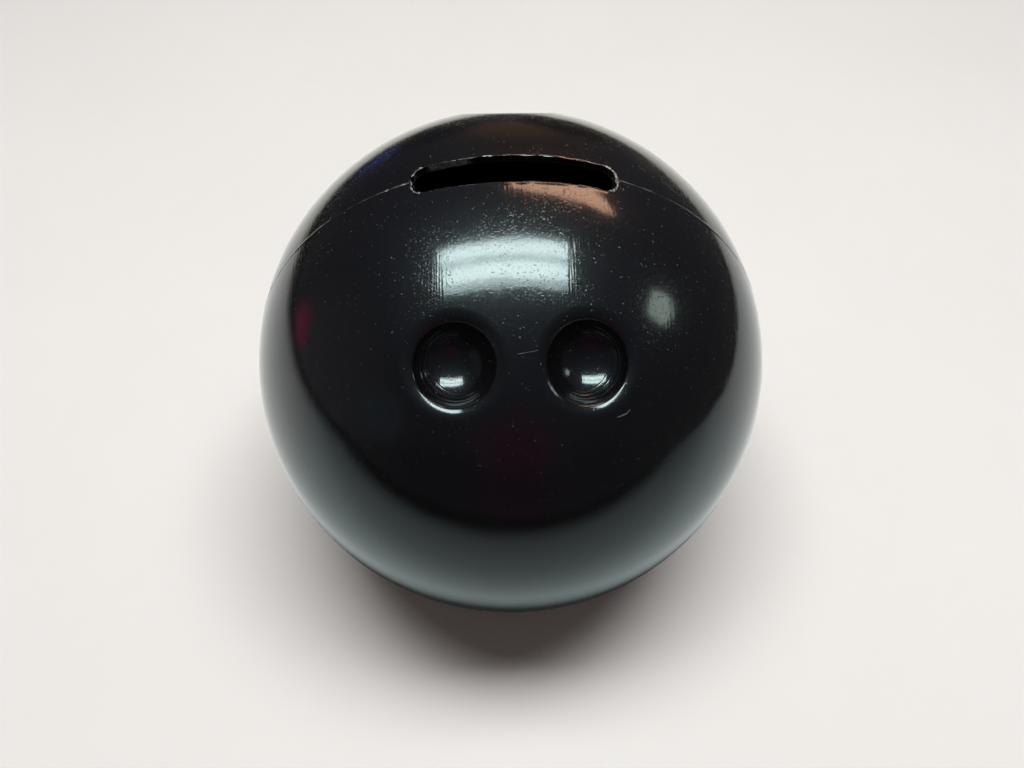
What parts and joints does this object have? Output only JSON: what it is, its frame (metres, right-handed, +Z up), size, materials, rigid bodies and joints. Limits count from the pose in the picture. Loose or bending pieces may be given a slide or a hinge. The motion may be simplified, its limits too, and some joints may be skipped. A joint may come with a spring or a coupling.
{
  "type": "bowling ball coin bank",
  "caption": "Hollow ball-shaped coin bank with a coin slot on top, two finger holes, a thumb hole, and a pull-out stopper in its flat foot.",
  "frame": {"origin": "centre of the flat foot, on the plane that it stands on", "axes": "+Z up; -Y is the front, with the two finger holes; +Y the rear, with the thumb hole; X runs along the coin slot"},
  "size_m": [0.14, 0.14, 0.1347],
  "materials": {
    "shell_front": "high gloss black, moulded",
    "shell_rear": "high gloss black, moulded",
    "stopper": "matt soft vinyl"
  },
  "bodies": {
    "shell": {"front_shell": "shell_front", "rear_shell": "shell_rear"},
    "stopper": {"base_stopper": "stopper"}
  },
  "joints": [
    {"name": "stopper_pull", "type": "slide", "parent": "shell", "child": "stopper", "axis": [0, 0, -1], "range_m": [0, 0.03]}
  ]
}
